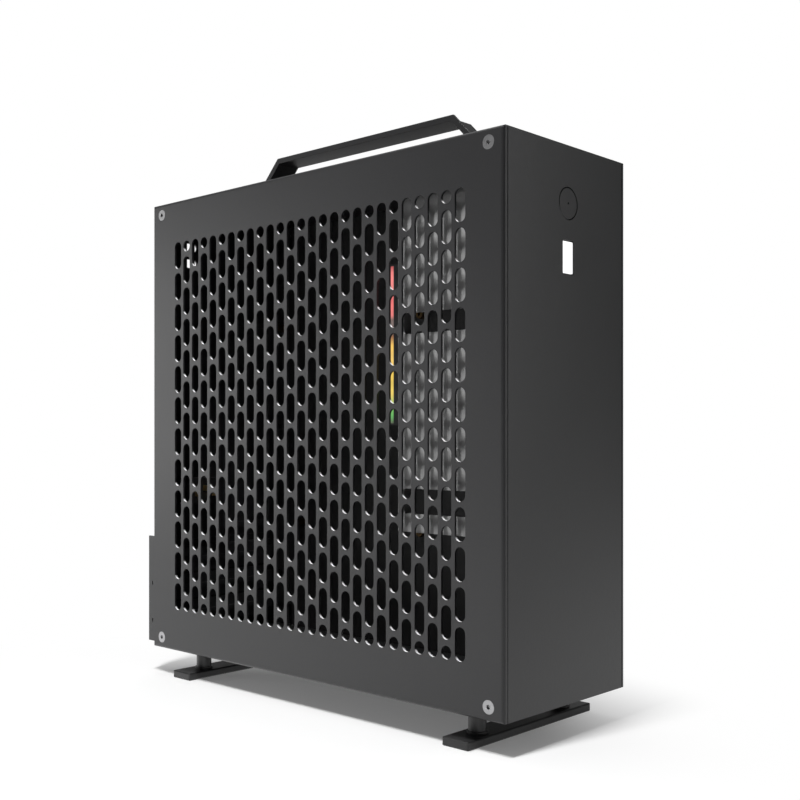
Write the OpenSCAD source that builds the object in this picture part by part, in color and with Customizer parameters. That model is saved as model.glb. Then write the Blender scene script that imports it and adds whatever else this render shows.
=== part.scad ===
// Mini-ITX computer case: slotted side panels, carrying handle on top, two bar feet.
// Millimetres, +Z up, front face towards -Y, board tray on the +X side.
// The origin lies on the ground under the middle of the outer box.

/* [Body] */
// Width over both side panels
body_w = 125; // [122:0.5:170]
// Depth from the front face to the rear face
body_d = 330; // [315:1:380]
// Height of the body without feet and handle
body_h = 330; // [325:1:380]
// Thickness of the outer sheets
sheet_t = 1.5; // [1:0.1:2]
// Thickness of the inner brackets and covers
inner_t = 1.2; // [0.8:0.1:1.5]
// Width of the seams between neighbouring outer sheets
seam = 0.5; // [0.3:0.1:1]
// Depth of the flanges that join the outer sheets
flange_w = 18; // [16.5:0.5:20]

/* [Side panels] */
// Depth of the folded rim around a side panel
rim_d = 3.4; // [2.9:0.1:4.4]
// Outer radius of the folds
fold_r = 2; // [1.7:0.1:2.8]
// Number of slot columns, odd
slot_columns = 27; // [21:2:27]
// Number of slots in a full column
slot_rows = 12; // [8:1:12]
// Width of a slot
slot_w = 7.7; // [5:0.1:8.5]
// Length of a slot over its round ends
slot_l = 19.6; // [14:0.1:20.5]
// Distance between neighbouring columns
column_pitch = 10.3; // [9.6:0.1:10.6]
// Distance between neighbouring slots in a column
row_pitch = 22.7; // [22:0.1:24]
// How far the near panel reaches behind the rear face, over the card screws
tab_reach = 5.5; // [3:0.5:8]
// Height of that tab
tab_h = 78.5; // [74:0.5:84]
// Distance of a panel screw from the front or rear edge
screw_in_y = 10.8; // [9:0.1:12]
// Distance of a panel screw from the top or bottom edge
screw_in_z = 8; // [7.4:0.1:9]

/* [Fasteners] */
// Head diameter of the countersunk screws
head_d = 8.1; // [7:0.1:8.5]
// Shank diameter of the countersunk screws
shank_d = 4; // [3.5:0.1:4.2]
// Width across the flats of the screw socket
socket_af = 2.5; // [2:0.1:3]
// Radial gap between a shank and its hole
shank_gap = 0.1; // [0.05:0.05:0.2]
// Head diameter of the rivets
rivet_head_d = 6.4; // [5:0.1:7]
// Shank diameter of the rivets
rivet_d = 3.2; // [2.8:0.1:4]

/* [Handle] */
// Width of the handle strip
handle_w = 19; // [18:0.2:30]
// Clear height of the handle above the body
handle_gap = 28.1; // [24:0.1:40]
// Length of the straight top of the handle
handle_top_l = 165.5; // [120:0.5:190]
// Slope of the handle legs in degrees
leg_slope = 46; // [42:1:65]
// Height of the lip along the handle's near edge
lip_h = 2.3; // [1.5:0.1:5]
// Length of each handle foot
handle_foot_l = 19; // [17:0.5:21]

/* [Feet] */
// Height of the body above the ground
foot_h = 19.6; // [15:0.2:30]
// Length of a foot bar across the case
bar_l = 125; // [108:1:125]
// Depth of a foot bar
bar_d = 20; // [16:0.5:24]
// Thickness of a foot bar
bar_t = 5.2; // [4:0.1:7]
// Bevel along the edges of a foot bar
bar_bevel = 0.8; // [0.4:0.1:1.4]
// Distance of a foot bar's middle from the front or rear face
bar_in = 35; // [30:1:50]
// Diameter of a foot post
post_d = 10.9; // [9.9:0.1:12.5]
// Distance of a post's middle from the side of the body
post_in = 20.6; // [17:0.1:30]

/* [Front] */
// Distance of the power button's middle from the top edge
button_drop = 34.3; // [30:0.1:36]
// Diameter of the power button cap
cap_d = 18.8; // [15:0.1:19.5]
// Gap around the power button cap
cap_gap = 0.35; // [0.3:0.05:0.8]
// Travel of the power button
cap_travel = 1.5; // [1:0.1:2]
// Distance of the light window's middle from the top edge
window_drop = 66.2; // [64.5:0.1:72]
// Width of the light window's opening
window_w = 11.4; // [7:0.1:13]
// Height of the light window's opening
window_h = 20.2; // [14:0.1:23]
// Gap around the pane in that opening
window_gap = 0.75; // [0.3:0.05:1.2]

/* [Board and slots] */
// Edge of the square board that the tray takes
board_l = 170; // [170:1:171]
// Height of the board's lower edge above the body's bottom
board_z = 82; // [80:0.5:86]
// Height of the board standoffs
standoff_h = 6.5; // [5:0.5:7]
// Outer width of the board standoffs
standoff_d = 6; // [5:0.1:7]
// Tapped hole of the board standoffs
standoff_bore = 2.5; // [2.5:0.05:2.6]
// Thickness of the board that the tray takes
board_t = 1.6; // [1.4:0.1:2]
// Length of the opening for the board's sockets
port_l = 158.75; // [158.75:0.05:159]
// Width of the opening for the board's sockets
port_w = 44.45; // [44.45:0.05:45]
// Distance between neighbouring card slots
card_pitch = 20.32; // [20.32:0.01:20.4]
// Height of the middle card slot above the body's bottom
card_z = 43.2; // [42:0.1:44]
// Width of a card slot's cover
cover_w = 18.4; // [17:0.1:19]
// Width of a card slot's opening
card_open_w = 12; // [11:0.1:14]
// Depth of the recess around the card slots
recess_d = 6; // [5:0.1:7]

/* [Front bay] */
// Distance of the bay bracket's rear edge from the front face
bracket_d = 84; // [78:0.5:90]
// Height of the bay bracket's lower edge above the body's bottom
bracket_z = 101; // [96:1:104]
// Depth of the bay bracket's folded rear edge
bracket_fold = 12; // [8:0.5:16]
// Length of the light bar
bar_light_l = 98; // [80:1:120]
// Thickness of the light bar
bar_light_t = 4.5; // [4:0.1:7]
// How far the light bar stands behind the bracket
bar_light_w = 12; // [9:0.5:16]
// Width of the light bar's lens
lens_w = 3.4; // [2:0.1:5]

/* [Hidden] */
$fn = 48;
over = 1;
x_skin = body_w / 2;
x_inner = x_skin - sheet_t;
x_sheet = x_skin - rim_d - seam;
x_flange = x_sheet - sheet_t;
y_front = -(body_d + tab_reach) / 2;
y_rear = y_front + body_d;
z_low = foot_h;
z_top = z_low + body_h;
z_lid = z_top - sheet_t;
lid_gap = 0.1;
tray_t = sheet_t;
tray_face = x_flange - tray_t;
board_face = tray_face - standoff_h - board_t;

grid_d = (slot_columns - 1) * column_pitch + slot_w;
grid_h = (slot_rows - 1) * row_pitch + slot_l;
grid_y = y_front + (body_d - grid_d) / 2 + slot_w / 2;
grid_z = z_low + (body_h - grid_h) / 2 + slot_l / 2;
field_margin = 2;

screw_ys = [y_front + screw_in_y, y_rear - screw_in_y];
screw_zs = [z_low + screw_in_z, z_top - screw_in_z];
head_h = (head_d - shank_d) / 2;
boss_d = head_d + 1.4;
screw_l = 9;
screw_room = 24;
tab_z = z_low + 4;
mark_w = 1.1;
mark_h = 3;
mark_zs = [z_low + 19.6, z_low + 47.4];

handle_mid = y_front + body_d / 2;
leg_run = (handle_gap + sheet_t) / tan(leg_slope);
handle_path = [
    [-handle_top_l / 2 - leg_run - handle_foot_l, 0],
    [-handle_top_l / 2 - leg_run, 0],
    [-handle_top_l / 2, handle_gap + sheet_t],
    [handle_top_l / 2, handle_gap + sheet_t],
    [handle_top_l / 2 + leg_run, 0],
    [handle_top_l / 2 + leg_run + handle_foot_l, 0]
];
handle_screw_y = handle_top_l / 2 + leg_run + handle_foot_l - 7;
handle_screw_x = handle_w / 4;

bar_ys = [y_front + bar_in, y_rear - bar_in];
post_x = x_skin - post_in;
collar_d = post_d + 1.8;
collar_h = 1.4;
nut_af = 7;
nut_h = 3.2;
z_floor = z_low + sheet_t;

card_zs = [for (i = [1, 0, -1]) z_low + card_z + i * card_pitch];
recess_low = card_zs[2] - card_pitch / 2 + 0.4;
recess_high = card_zs[0] + card_pitch / 2 - 0.4;
recess_x = tray_face - 9;
recess_rim = 5;
cover_t = 0.9;
card_head_h = 2.2;
shelf_x = -x_inner + card_head_h + 0.4 + cover_t;
shelf_l = recess_d + tab_reach - 0.3;
recess_face = y_rear - recess_d;
cover_end = recess_x - 4;
card_screw_d = 3;

port_x = board_face + 3;
port_z = z_low + board_z + (board_l - port_l) / 2;
board_rear = y_rear - sheet_t - 1.3;
hole_rear = 10.16;
hole_low = 6.35;
hole_rise = 157.48;
hole_reach = 154.94;
hole_short = 22.86;
board_holes = [
    [board_rear - hole_rear, hole_low + hole_rise],
    [board_rear - hole_rear - hole_reach, hole_low + hole_rise],
    [board_rear - hole_rear - hole_reach, hole_low],
    [board_rear - hole_rear - hole_short, hole_low]
];

vent_l = 11.4;
vent_h = 6.6;
vent_pitch_x = 16.5;
vent_pitch_z = 12.2;
vent_columns = 2;
vent_drop = 39.5;
vent_z = z_top - vent_drop;
vent_x = -x_skin + 17;

inlet_x = -28;
inlet_z = z_low + 116;
inlet_w = 27.4;
inlet_h = 19.8;
inlet_screw = 20;
inlet_flange_w = 49;
inlet_flange_h = 23.5;
inlet_flange_t = 2.6;
inlet_deep = 17;
inlet_head_d = 5.6;
inlet_screw_l = 7;

cap_z = z_top - button_drop;
cap_h = 5;
cap_lip_d = cap_d + 2 * cap_gap + 1.4;
ring_bore = cap_lip_d + 0.5;
ring_d = ring_bore + 3.2;
stem_d = 6;
stem_l = cap_travel + 2.5;
spring_l = stem_l + 0.4;
switch_at = cap_h + spring_l + 0.1;
switch_d = 15;
strap_at = switch_at + 2.5;
strap_h = 24;
strap_half = ring_d / 2 + 6;
win_z = z_top - window_drop;
window_back = 0.4;
window_rim = 2;
window_rim_t = 1.8;

bracket_y = y_front + sheet_t + 0.6;
bracket_end = y_front + bracket_d;
bracket_x = -x_flange;
bracket_low = z_low + bracket_z;
bracket_high = z_lid - sheet_t - 0.3;
gap_zs = [z_low + 0.362 * body_h, z_low + 0.684 * body_h];
gap_hs = [15, 12.5];
light_z = z_low + body_h / 2;
lens_back = 6.6;
lens_at = bracket_end + lens_back;

// A slot with round ends that stands upright in its plane
module pill(w, l) {
    square([w, l - w], center = true);
    for (s = [-1, 1]) translate([0, s * (l - w) / 2]) circle(d = w);
}

// A rectangle with round corners, from its lower left corner
module rounded(w, h, r) {
    translate([r, 0]) square([w - 2 * r, h]);
    translate([0, r]) square([w, h - 2 * r]);
    for (x = [r, w - r], y = [r, h - r]) translate([x, y]) circle(r = r);
}

// A flat sheet drawn in Y and Z, its low face at x
module sheet_x(x, t) {
    translate([x, 0, 0]) rotate([90, 0, 90]) linear_extrude(t) children();
}

// A flat sheet drawn in X and Z, its low face at y
module sheet_y(y, t) {
    translate([0, y + t, 0]) rotate([90, 0, 0]) linear_extrude(t) children();
}

// The section across a folded rim: l long, d deep, with rounded folds at x = 0
module fold_section(l, d, r) {
    translate([0, r]) square([d, l - 2 * r]);
    translate([r, 0]) square([d - r, l]);
    for (y = [r, l - r]) translate([r, y]) circle(r = r);
}

// The block inside a folded pan: sheet faces inset by t, folds of radius r
module pan_block(t, r, d) {
    intersection() {
        translate([-x_skin + t, y_front + t, z_low])
            linear_extrude(body_h) fold_section(body_d - 2 * t, d, r);
        translate([-x_skin + t, y_rear, z_low + t])
            rotate([90, 0, 0]) linear_extrude(body_d) fold_section(body_h - 2 * t, d, r);
    }
}

// The field of slots of a side panel, in Y and Z
module slot_field() {
    for (c = [0 : slot_columns - 1]) {
        y = grid_y + c * column_pitch;
        if (c % 2 == 0) {
            for (r = [0 : slot_rows - 1]) translate([y, grid_z + r * row_pitch]) pill(slot_w, slot_l);
        } else {
            for (r = [0 : slot_rows - 2])
                translate([y, grid_z + (r + 0.5) * row_pitch]) pill(slot_w, slot_l);
            for (z = [grid_z - slot_l / 2 + slot_w / 2, grid_z - slot_l / 2 + grid_h - slot_w / 2])
                translate([y, z]) circle(d = slot_w);
        }
    }
}

module slot_field_frame() {
    translate([grid_y - slot_w / 2 - field_margin, grid_z - slot_l / 2 - field_margin])
        square([grid_d + 2 * field_margin, grid_h + 2 * field_margin]);
}

// The countersunk hole of a panel screw, from the skin inwards along +X
module countersink(x) {
    translate([x - 0.01, 0, 0]) rotate([0, 90, 0]) cylinder(h = head_h, d1 = head_d + 0.2, d2 = shank_d + 0.2);
    translate([x, 0, 0]) rotate([0, 90, 0]) cylinder(h = screw_l + 3, d = shank_d + 2 * shank_gap);
}

module at_panel_screws() {
    for (y = screw_ys, z = screw_zs) translate([0, y, z]) children();
}

// A side panel on the -X side: a folded pan with a slotted skin
module side_panel(with_tab) {
    rim_gap = 0.8;
    difference() {
        pan_block(0, fold_r, rim_d);
        pan_block(sheet_t, fold_r - sheet_t, rim_d);
        sheet_x(-x_skin - over, sheet_t + 2 * over) slot_field_frame();
        at_panel_screws() countersink(-x_skin);
        for (y = [y_front + sheet_t, y_rear - sheet_t - rim_gap], z = [z_low - over, z_top - fold_r])
            translate([-x_skin + fold_r, y, z]) cube([rim_d, rim_gap, fold_r + over]);
        if (with_tab)
            translate([-x_skin - over, y_rear - rim_d, tab_z]) cube([rim_d + 2 * over, rim_d + over, tab_h]);
    }
    sheet_x(-x_skin, sheet_t) difference() {
        slot_field_frame();
        slot_field();
    }
    if (with_tab) sheet_x(-x_skin, sheet_t) difference() {
        translate([y_rear - rim_d, tab_z]) square([rim_d + tab_reach, tab_h]);
        for (z = mark_zs) translate([y_rear + 0.8, z]) pill(mark_w, mark_h);
    }
}

module left_side_panel() {
    color("#4a4a4a") side_panel(true);
}

module right_side_panel() {
    color("#4a4a4a") mirror([1, 0, 0]) side_panel(false);
}

// A front or rear pan: plate at y, flanges running towards +Y by dir
module end_pan(y, dir) {
    plate_y = dir > 0 ? y : y - sheet_t;
    reach_y = dir > 0 ? y : y - flange_w;
    sheet_y(plate_y, sheet_t) translate([-x_sheet, z_low]) square([2 * x_sheet, body_h]);
    for (x = [-x_sheet, x_flange]) translate([x, reach_y, z_low]) cube([sheet_t, flange_w, body_h]);
    for (z = [z_low, z_lid]) translate([-x_sheet, reach_y, z]) cube([2 * x_sheet, flange_w, sheet_t]);
}

// The holes for the bosses that carry the side panels
module boss_holes() {
    for (s = [-1, 1]) at_panel_screws() translate([s * x_flange - over * 3, 0, 0]) rotate([0, 90, 0])
        cylinder(h = 6 * over, d = boss_d - 2.6);
}

// The rivet places on the lap joints of the top and bottom panels
module at_lid_rivets() {
    for (x = [-x_flange * 0.7, 0, x_flange * 0.7], y = [y_front + flange_w / 2, y_rear - flange_w / 2])
        translate([x, y, 0]) children();
}

module lid_rivet_holes() {
    at_lid_rivets() translate([0, 0, z_low - over]) cylinder(h = body_h + 2 * over, d = rivet_d);
}

module front_panel() {
    color("#404040") difference() {
        end_pan(y_front, 1);
        boss_holes();
        lid_rivet_holes();
        tray_rivet_holes();
        bracket_rivet_holes();
        sheet_y(y_front - over, 2 * over + sheet_t) {
            translate([0, cap_z]) circle(d = cap_d + 2 * cap_gap);
            translate([-window_w / 2, win_z - window_h / 2]) rounded(window_w, window_h, 1);
        }
    }
}

module rear_openings() {
    translate([port_x - port_w, port_z]) square([port_w, port_l]);
    translate([inlet_x - inlet_w / 2, inlet_z - inlet_h / 2]) rounded(inlet_w, inlet_h, 2);
    for (s = [-1, 1]) translate([inlet_x + s * inlet_screw, inlet_z]) circle(d = card_screw_d + 0.2);
    for (c = [0 : vent_columns - 1], r = [0, 1])
        translate([vent_x + c * vent_pitch_x, vent_z + r * vent_pitch_z]) rotate(90) pill(vent_h, vent_l);
}

module rear_panel() {
    color("#404040") difference() {
        end_pan(y_rear, -1);
        boss_holes();
        lid_rivet_holes();
        tray_rivet_holes();
        sheet_y(y_rear - sheet_t - over, sheet_t + 2 * over) rear_openings();
        translate([-x_sheet - over, y_rear - flange_w - over, recess_low])
            cube([x_sheet - x_flange + 2 * over, flange_w + 2 * over, recess_high - recess_low]);
        translate([-x_sheet - over, y_rear - sheet_t - over, recess_low])
            cube([x_sheet + over + recess_x, sheet_t + 2 * over, recess_high - recess_low]);
    }
}

// The top or bottom sheet: a plate under the end flanges, its near edge folded inwards from edge_y on
module lid(z, dir, edge_y) {
    edge_h = 12;
    half_w = x_flange - lid_gap;
    y0 = y_front + sheet_t + 0.3;
    y1 = y_rear - sheet_t - 0.3;
    z0 = dir > 0 ? z : z - sheet_t;
    edge_z = dir > 0 ? z : z - edge_h;
    translate([-half_w, y0, z0]) cube([2 * half_w, y1 - y0, sheet_t]);
    translate([-half_w, edge_y, edge_z]) cube([sheet_t, y_rear - flange_w - 2 - edge_y, edge_h]);
}

module top_panel() {
    color("#404040") difference() {
        lid(z_lid, -1, bracket_end + 2);
        lid_rivet_holes();
        at_handle_screws() translate([0, 0, z_lid - 5]) cylinder(h = 10, d = shank_d + 2 * shank_gap);
    }
}

module bottom_panel() {
    color("#404040") difference() {
        lid(z_floor, 1, y_front + flange_w + 2);
        lid_rivet_holes();
        at_posts() translate([0, 0, z_floor - over]) cylinder(h = sheet_t + 2 * over, d = shank_d + 2 * shank_gap);
    }
}

// A boss pressed into a flange: it carries the skin of a side panel
module panel_boss() {
    boss_l = x_inner - x_sheet;
    difference() {
        union() {
            translate([-x_inner, 0, 0]) rotate([0, 90, 0]) cylinder(h = boss_l, d = boss_d);
            translate([-x_sheet, 0, 0]) rotate([0, 90, 0]) cylinder(h = sheet_t, d = boss_d - 2.6);
        }
        countersink(-x_skin);
    }
}

module panel_bosses() {
    color("#c0c0c0") for (s = [0, 1]) mirror([s, 0, 0]) at_panel_screws() panel_boss();
}

// A countersunk screw with a six-sided socket, its head flush at x = 0
module flat_screw(l) {
    rotate([0, 90, 0]) difference() {
        union() {
            cylinder(h = head_h, d1 = head_d, d2 = shank_d);
            cylinder(h = l, d = shank_d);
        }
        translate([0, 0, -over]) cylinder(h = over + 1.3, d = socket_af / cos(30), $fn = 6);
    }
}

module panel_screws() {
    color("#c8c8c8") for (s = [0, 1]) mirror([s, 0, 0]) at_panel_screws()
        translate([-x_skin + 0.05, 0, 0]) flat_screw(screw_l);
}

module tray_outline() {
    y0 = y_front + sheet_t + 0.3;
    z0 = z_floor + sheet_t + 0.2;
    difference() {
        translate([y0, z0]) square([body_d - 2 * sheet_t - 0.6, body_h - 4 * sheet_t - 0.4]);
        for (y = screw_ys, z = screw_zs) translate([y, z]) square(screw_room, center = true);
    }
}

module at_tray_rivets() {
    for (y = [y_front + flange_w / 2, y_rear - flange_w / 2], f = [0.14, 0.5, 0.86])
        translate([0, y, z_low + f * body_h]) children();
}

module tray_rivet_holes() {
    at_tray_rivets() translate([x_flange - 3, 0, 0]) rotate([0, 90, 0]) cylinder(h = 8, d = rivet_d);
}

module mainboard_tray() {
    color("#2c2c2c") difference() {
        sheet_x(tray_face, tray_t) difference() {
            tray_outline();
            for (h = board_holes) translate([h[0], z_low + board_z + h[1]]) circle(d = standoff_d - 1.5);
        }
        tray_rivet_holes();
    }
}

// Standoffs pressed into the tray, tapped for the board's screws
module board_standoffs() {
    color("#c9a85a") for (h = board_holes)
        translate([tray_face, h[0], z_low + board_z + h[1]]) rotate([0, -90, 0]) difference() {
            union() {
                cylinder(h = standoff_h, d = standoff_d / cos(30), $fn = 6);
                translate([0, 0, -tray_t]) cylinder(h = tray_t, d = standoff_d - 1.5);
            }
            translate([0, 0, -tray_t - over]) cylinder(h = standoff_h + tray_t + 2 * over, d = standoff_bore);
        }
}

// A blind rivet through a grip, head under z = 0 and tail above the grip
module rivet(grip) {
    head_t = 0.9;
    tail_t = 1.4;
    rotate_extrude() polygon([
        [0, -head_t], [rivet_head_d / 2 - 0.9, -head_t], [rivet_head_d / 2, -0.3], [rivet_head_d / 2, 0],
        [rivet_d / 2, 0], [rivet_d / 2, grip], [rivet_d / 2 + 0.8, grip + 0.2],
        [rivet_d / 2 + 0.5, grip + tail_t], [0, grip + tail_t]
    ]);
}

module tray_rivets() {
    color("#303030") at_tray_rivets() translate([x_sheet, 0, 0]) rotate([0, -90, 0]) rivet(2 * sheet_t);
}

module lid_rivets() {
    color("#303030") at_lid_rivets() {
        translate([0, 0, z_top]) rotate([180, 0, 0]) rivet(2 * sheet_t);
        translate([0, 0, z_low]) rivet(2 * sheet_t);
    }
}

// The point of a band's outer edge at corner b, on the left of the way from a to c
function unit(v) = v / norm(v);
function left(v) = [-v[1], v[0]];
function mitre(a, b, c, h) =
    let (n1 = left(unit(b - a)), n2 = left(unit(c - b)), m = unit(n1 + n2))
    b + m * h / (m * n1);
function band(p, h) = concat(
    p,
    [for (i = [len(p) - 1 : -1 : 0])
        i == 0 ? p[0] + left(unit(p[1] - p[0])) * h :
        i == len(p) - 1 ? p[i] + left(unit(p[i] - p[i - 1])) * h :
        mitre(p[i - 1], p[i], p[i + 1], h)]
);

module at_handle_screws() {
    for (s = [-1, 1], x = [-handle_screw_x, handle_screw_x])
        translate([x, handle_mid + s * handle_screw_y, 0]) children();
}

// A sheet strip folded over the top, with its near edge turned up as a lip
module handle() {
    color("#303030") difference() {
        union() {
            translate([-handle_w / 2, handle_mid, z_lid])
                rotate([90, 0, 90]) linear_extrude(handle_w) polygon(band(handle_path, sheet_t));
            translate([-handle_w / 2, handle_mid, z_lid])
                rotate([90, 0, 90]) linear_extrude(sheet_t) difference() {
                    polygon(band([for (i = [1 : 4]) handle_path[i]], sheet_t + lip_h));
                    translate([-body_d / 2, -20]) square([body_d, 20 + sheet_t / 2]);
                }
        }
        at_handle_screws() translate([0, 0, z_lid - over]) cylinder(h = 5, d = shank_d + 2 * shank_gap);
    }
}

// A low round-headed screw, head above z = 0 and shank below
module round_screw(d, head, rise, l) {
    difference() {
        union() {
            translate([0, 0, -l]) cylinder(h = l, d = d);
            intersection() {
                cylinder(h = rise, d = head);
                translate([0, 0, rise - head * 0.8]) sphere(r = head * 0.8);
            }
        }
        translate([0, 0, rise * 0.4]) cylinder(h = rise, d = d * 0.6 / cos(30), $fn = 6);
    }
}

module hex_nut(af, h, bore) {
    difference() {
        cylinder(h = h, d = af / cos(30), $fn = 6);
        translate([0, 0, -over]) cylinder(h = h + 2 * over, d = bore);
    }
}

module handle_screws() {
    color("#303030") at_handle_screws() translate([0, 0, z_lid + sheet_t]) round_screw(shank_d, 7.6, 2.2, 8);
}

module handle_nuts() {
    color("#b8b8b8") at_handle_screws() translate([0, 0, z_lid - sheet_t - nut_h]) hex_nut(nut_af, nut_h, shank_d);
}

module at_posts() {
    for (x = [-post_x, post_x], y = bar_ys) translate([x, y, 0]) children();
}

// A bar foot across the case: bevelled on every edge, rounded in plan
module foot_bar(y) {
    corner = 1.5;
    color("#181818") difference() {
        intersection() {
            translate([-bar_l / 2, y - bar_d / 2, 0]) linear_extrude(bar_t) rounded(bar_l, bar_d, corner);
            translate([-bar_l / 2, y, 0]) rotate([90, 0, 90]) linear_extrude(bar_l) bevelled(bar_d, bar_t);
            translate([0, y + bar_d / 2, 0]) rotate([90, 0, 0]) linear_extrude(bar_d) bevelled(bar_l, bar_t);
        }
        for (x = [-post_x, post_x]) translate([x, y, 0]) {
            translate([0, 0, -over]) cylinder(h = bar_t + 2 * over, d = shank_d + 2 * shank_gap);
            translate([0, 0, -0.01]) cylinder(h = 0.31, d = head_d + 0.3);
            translate([0, 0, 0.3]) cylinder(h = head_h, d1 = head_d + 0.3, d2 = shank_d + 0.3);
        }
    }
}

// A flat section of width w and height t whose corners are cut by the bevel
module bevelled(w, t) {
    b = bar_bevel;
    polygon([
        [-w / 2 + b, 0], [w / 2 - b, 0], [w / 2, b], [w / 2, t - b],
        [w / 2 - b, t], [-w / 2 + b, t], [-w / 2, t - b], [-w / 2, b]
    ]);
}

module front_foot_bar() {
    foot_bar(bar_ys[0]);
}

module rear_foot_bar() {
    foot_bar(bar_ys[1]);
}

module foot_posts() {
    color("#202020") at_posts() difference() {
        union() {
            translate([0, 0, bar_t]) cylinder(h = z_floor - bar_t, d = post_d);
            translate([0, 0, bar_t]) cylinder(h = collar_h, d = collar_d);
        }
        cylinder(h = z_floor + over, d = shank_d + 2 * shank_gap);
    }
}

module foot_screws() {
    color("#303030") at_posts() translate([0, 0, 0.3]) rotate([0, -90, 0])
        flat_screw(z_floor + sheet_t + nut_h + 0.8);
}

module foot_nuts() {
    color("#b8b8b8") at_posts() translate([0, 0, z_floor + sheet_t]) hex_nut(nut_af, nut_h, shank_d);
}

// The recessed wall around the card slots, with the shelf that takes the card screws
module slot_frame() {
    wall_y = recess_face - inner_t;
    rim_y = y_rear - sheet_t - inner_t;
    low = recess_low - recess_rim;
    high = recess_high + recess_rim;
    frame_w = recess_x - shelf_x;
    color("#383838") difference() {
        union() {
            translate([shelf_x, wall_y, recess_low]) cube([frame_w, inner_t, recess_high - recess_low]);
            translate([shelf_x, wall_y, recess_low]) cube([inner_t, shelf_l + inner_t, recess_high - recess_low]);
            for (z = [recess_low, recess_high - inner_t])
                translate([shelf_x, wall_y, z]) cube([frame_w, rim_y - wall_y + inner_t, inner_t]);
            translate([recess_x - inner_t, wall_y, recess_low])
                cube([inner_t, rim_y - wall_y + inner_t, recess_high - recess_low]);
            translate([-x_flange + 0.2, rim_y, low]) cube([recess_x + x_flange - 0.2 + recess_rim, inner_t, recess_rim]);
            translate([-x_flange + 0.2, rim_y, recess_high])
                cube([recess_x + x_flange - 0.2 + recess_rim, inner_t, recess_rim]);
            translate([recess_x - inner_t, rim_y, low]) cube([recess_rim + inner_t, inner_t, high - low]);
        }
        for (z = card_zs) {
            translate([shelf_x + inner_t + 3, wall_y - over, z - card_open_w / 2])
                cube([cover_end - 6 - shelf_x - inner_t, inner_t + 2 * over, card_open_w]);
            translate([shelf_x - over, recess_face + 4.8, z]) rotate([0, 90, 0])
                cylinder(h = inner_t + 2 * over, d = card_screw_d + 2 * shank_gap);
        }
    }
}

// A blank for one card slot: plate inside the wall, foot over the shelf, tongue at the far end
module slot_cover(z) {
    cover_y = recess_face - inner_t - cover_t;
    color("#383838") difference() {
        union() {
            translate([shelf_x - cover_t, cover_y, z - cover_w / 2])
                cube([cover_end - shelf_x + cover_t, cover_t, cover_w]);
            translate([cover_end, cover_y, z - cover_w / 4]) cube([5, cover_t, cover_w / 2]);
            translate([shelf_x - cover_t, cover_y, z - cover_w / 2])
                cube([cover_t, shelf_l + inner_t + cover_t - 0.4, cover_w]);
            translate([shelf_x + 8, cover_y - 1.2, z - 1.6])
                cube([cover_end - shelf_x - 20, 1.2, 3.2]);
        }
        translate([shelf_x - cover_t - over, recess_face + 4.8, z]) rotate([0, 90, 0])
            cylinder(h = cover_t + 2 * over, d = card_screw_d + 2 * shank_gap);
    }
}

module slot_cover_1() {
    slot_cover(card_zs[0]);
}

module slot_cover_2() {
    slot_cover(card_zs[1]);
}

module slot_cover_3() {
    slot_cover(card_zs[2]);
}

module slot_screws() {
    color("#b8b8b8") for (z = card_zs)
        translate([shelf_x - cover_t, recess_face + 4.8, z]) rotate([0, -90, 0])
            round_screw(card_screw_d, 6, card_head_h, cover_t + inner_t + 3);
}

// A three-pole appliance inlet: flange outside the rear sheet, body inside
module power_inlet() {
    wall = 2;
    color("#161616") difference() {
        union() {
            sheet_y(y_rear, inlet_flange_t)
                translate([inlet_x - inlet_flange_w / 2, inlet_z - inlet_flange_h / 2])
                    rounded(inlet_flange_w, inlet_flange_h, 4);
            sheet_y(y_rear - inlet_deep, inlet_deep)
                translate([inlet_x - inlet_w / 2 + 0.2, inlet_z - inlet_h / 2 + 0.2])
                    rounded(inlet_w - 0.4, inlet_h - 0.4, 1.8);
        }
        sheet_y(y_rear - inlet_deep + wall, inlet_deep + inlet_flange_t) inlet_mouth(wall);
        for (s = [-1, 1]) translate([inlet_x + s * inlet_screw, y_rear + inlet_flange_t + over, inlet_z])
            rotate([90, 0, 0]) cylinder(h = inlet_flange_t + 2 * over, d = card_screw_d + 2 * shank_gap);
        at_inlet_pins() translate([-1.05, y_rear - inlet_deep - over, -2.05]) cube([2.1, wall + 2 * over, 4.1]);
    }
}

// The mouth has two upper corners cut, so that the plug goes in one way up
module inlet_mouth(wall) {
    w = inlet_w - 2 * wall - 0.6;
    h = inlet_h - 2 * wall - 0.6;
    cut = 4;
    translate([inlet_x, inlet_z]) polygon([
        [-w / 2, -h / 2], [w / 2, -h / 2], [w / 2, h / 2 - cut], [w / 2 - cut, h / 2],
        [-w / 2 + cut, h / 2], [-w / 2, h / 2 - cut]
    ]);
}

module at_inlet_pins() {
    for (p = [[-7, -2], [0, 2], [7, -2]]) translate([inlet_x + p[0], 0, inlet_z + p[1]]) children();
}

module inlet_pins() {
    color("#d0b060") at_inlet_pins() translate([-1, y_rear - inlet_deep - 5, -2]) cube([2, inlet_deep + 3, 4]);
}

module inlet_screws() {
    color("#303030") for (s = [-1, 1])
        translate([inlet_x + s * inlet_screw, y_rear + inlet_flange_t, inlet_z]) rotate([-90, 0, 0])
            round_screw(card_screw_d, inlet_head_d, 1.6, inlet_screw_l);
}

// The ring behind the front sheet that guides the power button cap
module button_ring() {
    flange_t = 1.6;
    ring_l = cap_h + 1.5;
    color("#262626") translate([0, y_front + sheet_t, cap_z]) rotate([-90, 0, 0]) difference() {
        union() {
            cylinder(h = flange_t, d = ring_d + 5);
            cylinder(h = ring_l, d = ring_d);
        }
        translate([0, 0, -over]) cylinder(h = ring_l + 2 * over, d = ring_bore);
    }
}

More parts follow.
